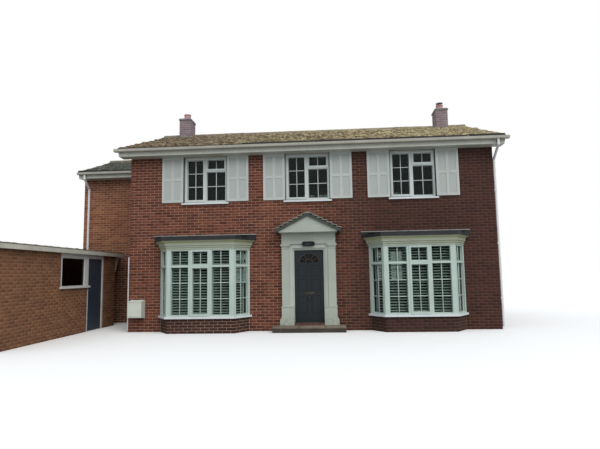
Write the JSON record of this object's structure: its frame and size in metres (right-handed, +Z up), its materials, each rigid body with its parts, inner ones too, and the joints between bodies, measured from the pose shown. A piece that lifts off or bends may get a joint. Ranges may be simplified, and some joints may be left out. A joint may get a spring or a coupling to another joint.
{
  "type": "detached brick house",
  "caption": "Two-storey gabled brick house with canted bay windows, pedimented doorway, panelled shutters, gable chimneys, a set-back wing and a flat-roofed garage.",
  "frame": {"origin": "middle of the main block's footprint, on the ground under its floor slab", "axes": "+X along the front towards the right gable seen from the front, +Y from the front to the back, +Z up"},
  "size_m": [14.473, 10.404, 7.1403],
  "materials": {
    "concrete": "smooth trowelled concrete",
    "timber_floor": "bare boards",
    "brick": "rough red-brown facing brick with pale mortar",
    "roof_tile": "rough concrete tiles with moss",
    "white_board": "grey-white painted boards",
    "gutter_white": "weathered white plastic",
    "stack_brick": "weathered purple-brown brick",
    "terracotta": "unglazed clay",
    "cowl_metal": "dull blue-grey paint",
    "frame_white": "satin white frames",
    "glass": "clear flat glass",
    "shutter_paint": "satin grey-white paint",
    "louvre_white": "white painted louvres",
    "cornice_white": "moulded white gloss",
    "lead": "dull dark grey sheet",
    "surround_white": "white moulded surround with green algae at the foot",
    "slate": "grey-green small tiles",
    "door_paint": "dark slate-blue satin paint",
    "brass": "worn brass",
    "plaque_black": "plain dark oblong with round ends",
    "step_stone": "worn paving and red quarry tiles",
    "meter_ivory": "off-white moulded box",
    "garage_brick": "rough brown brick",
    "felt": "mineral felt",
    "garage_board": "weathered grey-beige board",
    "garage_white": "white painted timber frame",
    "garage_door_paint": "dark blue-black satin paint"
  },
  "bodies": {
    "house": {"ground_floor": "concrete", "first_floor": "timber_floor", "front_wall_left": "brick", "front_wall_right": "brick", "front_wall_over_door": "brick", "back_wall": "brick", "left_gable_wall": "brick", "right_gable_wall": "brick", "wing_front_wall": "brick", "wing_side_wall": "brick", "main_roof_front": "roof_tile", "main_roof_back": "roof_tile", "wing_roof_front": "roof_tile", "wing_roof_back": "roof_tile", "ridge_tiles": "roof_tile", "eaves_boards": "white_board", "gutters": "gutter_white", "downpipes": "gutter_white", "chimney_stacks": "stack_brick", "chimney_pots": "terracotta", "chimney_cowl": "cowl_metal", "window_frames": "frame_white", "window_glass": "glass", "window_sills": "frame_white", "shutters": "shutter_paint", "bay_bases": "brick", "bay_frames": "frame_white", "bay_glass": "glass", "bay_louvres": "louvre_white", "bay_cornices": "cornice_white", "bay_roofs": "lead", "door_pilasters": "surround_white", "door_pediment": "surround_white", "pediment_roof": "slate", "door_frame": "surround_white", "name_plaque": "plaque_black", "doorstep": "step_stone", "meter_box": "meter_ivory", "garage_floor": "concrete", "garage_walls": "garage_brick", "garage_window_wall": "garage_brick", "garage_roof": "felt", "garage_fascia": "garage_board", "garage_frame": "garage_white"},
    "front_door_leaf": {"front_door": "door_paint", "door_fanlight": "glass", "door_furniture": "brass"},
    "garage_door_leaf": {"garage_door": "garage_door_paint"}
  },
  "joints": [
    {"name": "front_door_hinge", "type": "hinge", "parent": "house", "child": "front_door_leaf", "pos_m": [-0.396, -3.0985, 1.17], "axis": [0, 0, 1], "range_deg": [0, 90]},
    {"name": "garage_door_hinge", "type": "hinge", "parent": "house", "child": "garage_door_leaf", "pos_m": [-6.2115, -2.242, 1], "axis": [0, 0, -1], "range_deg": [0, 90]}
  ]
}
